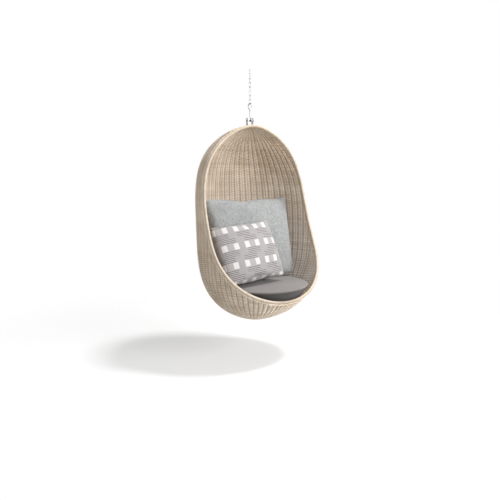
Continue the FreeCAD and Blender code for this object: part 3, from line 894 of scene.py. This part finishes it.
# %% [markdown]
# ## Sewn cushions
# A loose cushion is two flat sheets sewn together round the edge and stuffed. The honest way to get
# its shape, with the puckers along the seam and the pointed corners, is to do just that: make the
# two sheets, join them at the edge, and let a cloth simulation blow them up with a pressure from
# inside until the cushion is thick enough. Gravity is off, because the stuffing carries the cloth.
# Air pulls the corners out further than wadding does, so the result is mixed with a plain pillow
# formula, and then leaned back and put in its place.

# %% Cut, sew and stuff
LONGEST_STUFFING = 40
PRESSURE = 1.2
STIFFNESS = 14.0
TIDINESS = 0.45
START_SWELL = 0.006
FORM_POWER = 2.4
EDGE_DRAW = 0.05


def cut_sheets(name, width, height, cell):
    """Two sheets in the XZ plane that share their edge, with the cut's measures as its UV map."""
    columns, rows = round(width / cell), round(height / cell)
    points, index = [], {}
    for side in (-1, 1):
        for row in range(rows + 1):
            for column in range(columns + 1):
                edge = row in (0, rows) or column in (0, columns)
                key = (column, row, 0 if edge else side)
                if key not in index:
                    u, v = column / columns * 2 - 1, row / rows * 2 - 1
                    swell_out = START_SWELL * (1 - u ** 8) * (1 - v ** 8)
                    index[key] = len(points)
                    points.append((u * width / 2, side * swell_out, v * height / 2))
    faces, cuts = [], []
    for side in (-1, 1):
        for row in range(rows):
            for column in range(columns):
                corners = [(column, row), (column + 1, row),
                           (column + 1, row + 1), (column, row + 1)]
                if side > 0:
                    corners.reverse()
                face = []
                for c, r in corners:
                    edge = r in (0, rows) or c in (0, columns)
                    face.append(index[(c, r, 0 if edge else side)])
                    cuts.append((c / columns * width, r / rows * height))
                faces.append(face)
    mesh = bpy.data.meshes.new(name)
    mesh.from_pydata(points, [], faces)
    layer = mesh.uv_layers.new(name="cut")
    layer.data.foreach_set("uv", np.array(cuts, dtype=np.float32).ravel())
    return mesh


def stuffed(mesh, thick):
    """The points of the mesh once its cloth has been blown up to a thickness."""
    sewn = placed("sewn", mesh)
    modifier = sewn.modifiers.new("cloth", "CLOTH")
    cloth = modifier.settings
    cloth.quality = 6
    cloth.mass = 0.25
    cloth.tension_stiffness = STIFFNESS
    cloth.compression_stiffness = STIFFNESS
    cloth.shear_stiffness = STIFFNESS / 3
    cloth.bending_stiffness = 0.15
    cloth.use_pressure = True
    cloth.uniform_pressure_force = PRESSURE
    cloth.effector_weights.gravity = 0.0
    modifier.collision_settings.use_collision = False
    modifier.point_cache.frame_end = LONGEST_STUFFING
    scene = bpy.context.scene
    for number in range(1, LONGEST_STUFFING + 1):
        scene.frame_set(number)
        graph = bpy.context.evaluated_depsgraph_get()
        blown = sewn.evaluated_get(graph)
        points = shape_of(blown.to_mesh())
        blown.to_mesh_clear()
        if np.ptp(points[:, 1]) > thick:
            break
    print("stuffed in", number, "frames to", np.ptp(points, axis=0).round(3))
    bpy.data.objects.remove(sewn)
    scene.frame_set(1)
    return points


def shape_of(mesh):
    """A mesh's points, one row each."""
    points = np.empty(len(mesh.vertices) * 3)
    mesh.vertices.foreach_get("co", points)
    return points.reshape(-1, 3)


def reshape(mesh, points):
    """Puts rows of points back on a mesh."""
    mesh.vertices.foreach_set("co", np.asarray(points, dtype=np.float32).ravel())
    mesh.update()


def pillow_form(points, width, height, thick):
    """The plain pillow formula, which is mixed into the stuffed shape."""
    u = np.clip(np.abs(points[:, 0]) / (width / 2), 0, 1)
    v = np.clip(np.abs(points[:, 2]) / (height / 2), 0, 1)
    side = np.sign(points[:, 1])
    bulge = ((1 - u ** FORM_POWER) * (1 - v ** FORM_POWER)) ** 0.5
    formed = points.copy()
    formed[:, 1] = side * bulge * thick / 2
    formed[:, 0] *= 1 - EDGE_DRAW * v ** 2
    formed[:, 2] *= 1 - EDGE_DRAW * u ** 2
    return formed


def stuffed_cushion(name, width, height, thick, cell):
    """A stuffed cushion with its middle at the origin and its finished size."""
    mesh = cut_sheets(name, width, height, cell)
    formed = pillow_form(shape_of(mesh), width, height, thick)
    blown = stuffed(mesh.copy(), thick)
    points = blown * (1 - TIDINESS) + formed * TIDINESS
    size = points.max(axis=0) - points.min(axis=0)
    middle = (points.max(axis=0) + points.min(axis=0)) / 2
    points = (points - middle) * [width / size[0], thick / size[1], height / size[2]]
    reshape(mesh, points)
    return mesh


def rolled(points, roll):
    """Turns points in the plane of the cushion, so that its sitter's left side rises."""
    turn = math.radians(roll)
    moved = points.copy()
    moved[:, 0] = points[:, 0] * math.cos(turn) - points[:, 2] * math.sin(turn)
    moved[:, 2] = points[:, 0] * math.sin(turn) + points[:, 2] * math.cos(turn)
    return moved


def leaned(points, lean, bottom):
    """Leans points back by an angle and puts the middle of their lower edge at a place."""
    turn = math.radians(lean)
    low = points[:, 2].min()
    y, z = points[:, 1], points[:, 2] - low
    moved = points.copy()
    moved[:, 0] += bottom[0]
    moved[:, 1] = y * math.cos(turn) + z * math.sin(turn) + bottom[1]
    moved[:, 2] = -y * math.sin(turn) + z * math.cos(turn) + bottom[2]
    return moved


print("stuffing stops after", LONGEST_STUFFING, "frames at the latest")


# %% [markdown]
# A soft piece is flat only where it rests on something. Three small rules give that: points that
# would be in the seat pad come up to its top, points that would be outside the basket come in to
# its wall, and the pillow's back takes the form of the cushion behind it.

# %% Resting on the neighbours
PAD_LOW, PAD_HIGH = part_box("seat_cushion")
PAD_RISE = 0.018
PAD_TOP = PAD_HIGH.z + PAD_RISE
WALL_GAP = 0.003
REST_GAP = 0.002
REST_SOFTNESS = 0.05
END_CLEAR = 0.02


def kept_above(points, level):
    """Points below a level come up to it, and a little above it if they were deep."""
    moved = points.copy()
    depth = np.clip(level - points[:, 2], 0, None)
    moved[:, 2] = np.where(depth > 0, level + REST_SOFTNESS * depth, points[:, 2])
    return moved


def kept_inside(points):
    """Points outside the basket's inner wall come straight in to it."""
    height = np.clip(points[:, 2] - EGG_FOOT, END_CLEAR, EGG_HEIGHT - END_CLEAR)
    width, front, rear, middle = section(height, SKIN + WALL_GAP)
    y = points[:, 1] - middle
    depth = np.where(y < 0, front, rear)
    away = np.hypot(points[:, 0] / width, y / depth)
    pull = np.where(away > 1, 1 / np.maximum(away, 1e-6), 1.0)
    moved = points.copy()
    moved[:, 0] *= pull
    moved[:, 1] = middle + y * pull
    return moved


def kept_in_front(points, other, gap):
    """Points behind the front face of another mesh come forward to it."""
    tree = BVHTree.FromPolygons([vertex.co for vertex in other.vertices],
                                [face.vertices[:] for face in other.polygons])
    moved = points.copy()
    for index, (x, y, z) in enumerate(points):
        hit = tree.ray_cast(Vector((x, -2.0, z)), Vector((0, 1, 0)))[0]
        if hit is not None and y > hit.y - gap:
            moved[index, 1] = hit.y - gap
    return moved


def finished(name, mesh, material, body, nodes):
    """Smooths a cushion, gives it its cloth, hangs it on its body and hides the CAD nodes it stands
    for.
    """
    mesh.name = name
    piece = placed(name, mesh)
    piece.data.materials.append(material)
    for face in piece.data.polygons:
        face.use_smooth = True
    rounding = piece.modifiers.new("rounding", "SUBSURF")
    rounding.levels = 1
    rounding.render_levels = 1
    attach(piece, body)
    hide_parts(*nodes)
    return piece


print("top of the seat pad at", round(PAD_TOP, 4))


# %% [markdown]
# ## The seat pad
# The pad is a boxed cushion: a round top, a round bottom and a band between them, with a seam at
# the upper edge. It is built in rings, with two rings close together at the seam, so that the seam
# stays a crisp fold. The pad is firm, so the crown of its top and the bulge of its band are small
# and are simply drawn.

# %% The seat pad
PAD_SECTORS = 96
PAD_SPREAD = 0.010
PAD_TAPER = 0.058
PAD_CROWN = 0.013
PAD_SHIFT = Vector((0.003, -0.004, 0))
SEAM_DIP = 0.0016
SEAM_DROP = 0.004
SEAM_HALF = 0.0015
BAND_BULGE = 0.006


def pad_profile():
    """Radius and height of each ring from the middle of the top to the middle of the bottom."""
    radius = (PAD_HIGH.x - PAD_LOW.x) / 2 + PAD_SPREAD
    foot = radius - PAD_TAPER
    thick = PAD_TOP - PAD_LOW.z
    rings = []
    for share in np.linspace(0.06, 0.985, 18):
        rings.append((share * radius, thick - PAD_CROWN * share ** 2.5))
    edge = thick - PAD_CROWN - SEAM_DROP
    rings.append((radius - SEAM_DIP, edge + SEAM_HALF))
    rings.append((radius - SEAM_DIP, edge - SEAM_HALF))
    for share in np.linspace(0.06, 0.96, 10):
        away = radius + (foot - radius) * share + BAND_BULGE * math.sin(math.pi * share)
        rings.append((away, edge * (1 - share) + SEAM_DROP * share))
    for share in np.linspace(0.97, 0.06, 12):
        rings.append((foot * share, 0.0))
    return rings, thick


def pad_mesh():
    """The rings joined to a closed mesh that stays inside the basket."""
    rings, thick = pad_profile()
    centre = (PAD_LOW + PAD_HIGH) / 2 + PAD_SHIFT
    points, faces = [], []
    for radius, height in rings:
        for sector in range(PAD_SECTORS):
            turn = 2 * math.pi * sector / PAD_SECTORS
            x = centre.x + radius * math.sin(turn)
            y = centre.y - radius * math.cos(turn)
            points.append((x, y, PAD_LOW.z + height))
    for ring in range(len(rings) - 1):
        for sector in range(PAD_SECTORS):
            after = (sector + 1) % PAD_SECTORS
            low, high = ring * PAD_SECTORS, (ring + 1) * PAD_SECTORS
            faces.append((low + sector, high + sector, high + after, low + after))
    top, bottom = len(points), len(points) + 1
    points.append((centre.x, centre.y, PAD_LOW.z + thick))
    points.append((centre.x, centre.y, PAD_LOW.z))
    last = (len(rings) - 1) * PAD_SECTORS
    for sector in range(PAD_SECTORS):
        after = (sector + 1) % PAD_SECTORS
        faces.append((top, sector, after))
        faces.append((bottom, last + after, last + sector))
    mesh = bpy.data.meshes.new("seat_pad")
    mesh.from_pydata([tuple(point) for point in kept_inside(np.array(points))], [], faces)
    return mesh


PAD_MESH = pad_mesh()
SEAT_PAD = finished("seat_pad", PAD_MESH, SEAT_CLOTH, "chair",
                    ["seat_cushion", "seat_cushion_filling"])
print("seat pad:", SEAT_PAD.dimensions)

# %% [markdown]
# ## The back cushion
# The back cushion is large and flat. Its lower edge stands on the pad and its back leans on the
# rear wall. It comes before the pillow, because the pillow takes its form from it.

# %% The back cushion
BACK_SIZE = (0.650, 0.535, 0.150)
BACK_CELL = 0.0125
BACK_LEAN = 10.5
BACK_PLACE = (0.012, -0.050, PAD_TOP - 0.004)


def back_cushion_mesh():
    """The back cushion, stuffed, leaned and rested."""
    width, height, thick = BACK_SIZE
    mesh = stuffed_cushion("back_cushion_cloth", width, height, thick, BACK_CELL)
    points = leaned(shape_of(mesh), BACK_LEAN, BACK_PLACE)
    points = kept_inside(kept_above(points, PAD_TOP + REST_GAP))
    reshape(mesh, points)
    return mesh


BACK_MESH = back_cushion_mesh()
BACK_CUSHION = finished("back_cushion_cloth", BACK_MESH, BACK_CLOTH, "chair",
                        ["back_cushion", "back_cushion_filling"])
print("back cushion:", BACK_CUSHION.dimensions)

# %% [markdown]
# ## The throw pillow
# The pillow is cut and stuffed in the same way, from smaller cells, because its puckers are finer.
# It leans further back, is turned a little in its own plane and lies on the sitter's right.

# %% The throw pillow
PILLOW_SIZE = (0.450, 0.385, 0.135)
PILLOW_CELL = 0.0095
PILLOW_LEAN = 24.0
PILLOW_ROLL = 4.0
PILLOW_PLACE = (-0.112, -0.212, PAD_TOP + 0.004)


def pillow_mesh():
    """The throw pillow, stuffed, turned, leaned and rested on the pad and the back cushion."""
    width, height, thick = PILLOW_SIZE
    mesh = stuffed_cushion("throw_pillow_cloth", width, height, thick, PILLOW_CELL)
    points = leaned(rolled(shape_of(mesh), PILLOW_ROLL), PILLOW_LEAN, PILLOW_PLACE)
    points = kept_inside(kept_above(points, PAD_TOP + REST_GAP))
    points = kept_in_front(points, BACK_MESH, REST_GAP)
    reshape(mesh, points)
    return mesh


PILLOW = finished("throw_pillow_cloth", pillow_mesh(), PILLOW_CLOTH,
                  "throw_pillow", ["throw_pillow", "throw_pillow_filling"])
print("pillow:", PILLOW.dimensions)

# %% [markdown]
# ## The metal
# The chain, the hook, the hanger and the frame are the CAD nodes themselves. Each only needs a
# better finish, picked by its slot in the record.

# %% Finishes for the CAD nodes
SLOT_FINISH = {
    "zinc_chain": CHAIN_STEEL,
    "zinc_hook": HOOK_STEEL,
    "zinc_hardware": HARDWARE_STEEL,
    "frame_steel": FRAME_PAINT,
    "rim_cane": RIM_CANE,
    "woven_cane": WEFT_CANE,
    "seat_fabric": SEAT_CLOTH,
    "back_fabric": BACK_CLOTH,
    "pillow_fabric": PILLOW_CLOTH,
    "filling": SEAT_CLOTH,
}
for part in frame["record"]["subparts"]:
    node = frame["nodes"][part["node"]]
    for place in node.material_slots:
        place.material = SLOT_FINISH[part["material_slot"]]

# %% [markdown]
# ## The floor
# The chair hangs over a white floor that keeps its soft shadow. The floor fades out at its edge
# into the white world behind it, so there is no horizon. A truly white floor would throw too much
# light up under the egg, so this one is grey, with a glow that only the camera sees.

# %% The floor
FLOOR_DROP = 0.234
FLOOR_Z = EGG_FOOT - FLOOR_DROP
FLOOR_REACH = 2.6
FLOOR_PALE = (0.61, 0.61, 0.61, 1)
FLOOR_DARK = (0.59, 0.59, 0.59, 1)
FLOOR_GLOW = (0.27, 0.27, 0.27, 1)


def floor_material():
    """A grey that fades out with distance and looks white to the camera."""
    recipe = Recipe("floor_white", Roughness=0.9, Emission_Strength=1.0)
    where = recipe.place()
    grain = recipe.noise(where, 40.0, 3.0)
    recipe.feed(Base_Color=recipe.blend(grain * 0.1, FLOOR_PALE, FLOOR_DARK))
    away = recipe.node("ShaderNodeVectorMath", {"operation": "LENGTH"}, {0: where}, output="Value")
    recipe.feed(Alpha=1 - away.soft(FLOOR_REACH * 0.3, FLOOR_REACH * 0.95))
    seen = recipe.node("ShaderNodeLightPath", output="Is Camera Ray")
    recipe.feed(Emission_Color=recipe.blend(seen, (0, 0, 0, 1), FLOOR_GLOW))
    return recipe.material


def floor():
    """A round sheet under the chair."""
    turns = [math.radians(turn) for turn in range(0, 360, 5)]
    ring = [(FLOOR_REACH * math.sin(t), -FLOOR_REACH * math.cos(t), 0.0) for t in turns]
    mesh = bpy.data.meshes.new("floor")
    mesh.from_pydata(ring, [], [list(range(len(ring)))[::-1]])
    piece = placed("floor", mesh)
    piece.location.z = FLOOR_Z
    piece.data.materials.append(floor_material())


floor()
print("floor at", round(FLOOR_Z, 4))

# %% [markdown]
# ## Lamps and world
# A lamp high overhead and to the right throws the shadow on the floor to the left. A large lamp
# in front on the right lights the cushions and the left inside wall, and leaves the left outside
# wall to the plain light of the world. Left and right are the camera's here, so its direction comes
# first.

# %% Lamps and world
CAMERA_TURN = math.radians(-37.55)
TOWARDS_CAMERA = Vector((math.sin(CAMERA_TURN), -math.cos(CAMERA_TURN), 0.0))
RIGHTWARDS = Vector((math.cos(CAMERA_TURN), math.sin(CAMERA_TURN), 0.0))


def aimed(made, place, aim):
    """Puts a lamp or a camera at a place, looking at a point."""
    made.location = place
    made.rotation_euler = (aim - place).to_track_quat("-Z", "Y").to_euler()


def lamp(name, place, aim, size, power):
    """A square area light that looks at a point."""
    light = bpy.data.lights.new(name, "AREA")
    light.size = size
    light.energy = power
    aimed(placed(name, light), place, aim)


MIDDLE = Vector((0.0, -0.1, EGG_FOOT + EGG_HEIGHT / 2))
OVERHEAD = MIDDLE + RIGHTWARDS * 2.75 + Vector((0, 0, 6.0))
FRONT = MIDDLE + RIGHTWARDS * 2.8 + TOWARDS_CAMERA * 1.8 + Vector((0, 0, 1.0))
lamp("overhead", OVERHEAD, MIDDLE, 1.1, 360)
lamp("front", FRONT, MIDDLE, 1.5, 104)


WORLD_LIGHT = 0.60


def world():
    """White for the camera and in reflections, and a plain soft light for everything else."""
    made = bpy.data.worlds.new("studio")
    made.use_nodes = True
    tree = made.node_tree
    path = tree.nodes.new("ShaderNodeLightPath")
    soft, white = tree.nodes["Background"], tree.nodes.new("ShaderNodeBackground")
    soft.inputs["Color"].default_value = (1, 1, 1, 1)
    soft.inputs["Strength"].default_value = WORLD_LIGHT
    white.inputs["Strength"].default_value = 1.0
    white.inputs["Color"].default_value = (1, 1, 1, 1)
    mix = tree.nodes.new("ShaderNodeMixShader")
    seen = tree.nodes.new("ShaderNodeMath")
    seen.operation = "MAXIMUM"
    tree.links.new(path.outputs["Is Camera Ray"], seen.inputs[0])
    tree.links.new(path.outputs["Is Glossy Ray"], seen.inputs[1])
    tree.links.new(seen.outputs[0], mix.inputs[0])
    tree.links.new(soft.outputs[0], mix.inputs[1])
    tree.links.new(white.outputs[0], mix.inputs[2])
    tree.links.new(mix.outputs[0], tree.nodes["World Output"].inputs[0])
    bpy.context.scene.world = made


world()
bpy.context.scene.view_settings.view_transform = "Standard"
print("lamps at", OVERHEAD, FRONT)

# %% [markdown]
# ## The camera
# The camera stands in front, well round towards the sitter's right, a little above the cushions,
# and looks slightly down into the egg.

# %% The camera
CAMERA_AWAY = 3.429
CAMERA_HEIGHT = 0.9286
AIM_HEIGHT = 0.451
SENSOR = 36.0
LENS = 38.3
camera_data = bpy.data.cameras.new("camera")
camera_data.sensor_width = SENSOR
camera_data.lens = LENS
camera = placed("camera", camera_data)
aimed(camera, TOWARDS_CAMERA * CAMERA_AWAY + Vector((0, 0, EGG_FOOT + CAMERA_HEIGHT)),
      Vector((0, 0, EGG_FOOT + AIM_HEIGHT)))
bpy.context.scene.camera = camera
print("camera at", camera.location, "with a lens of", LENS, "mm")
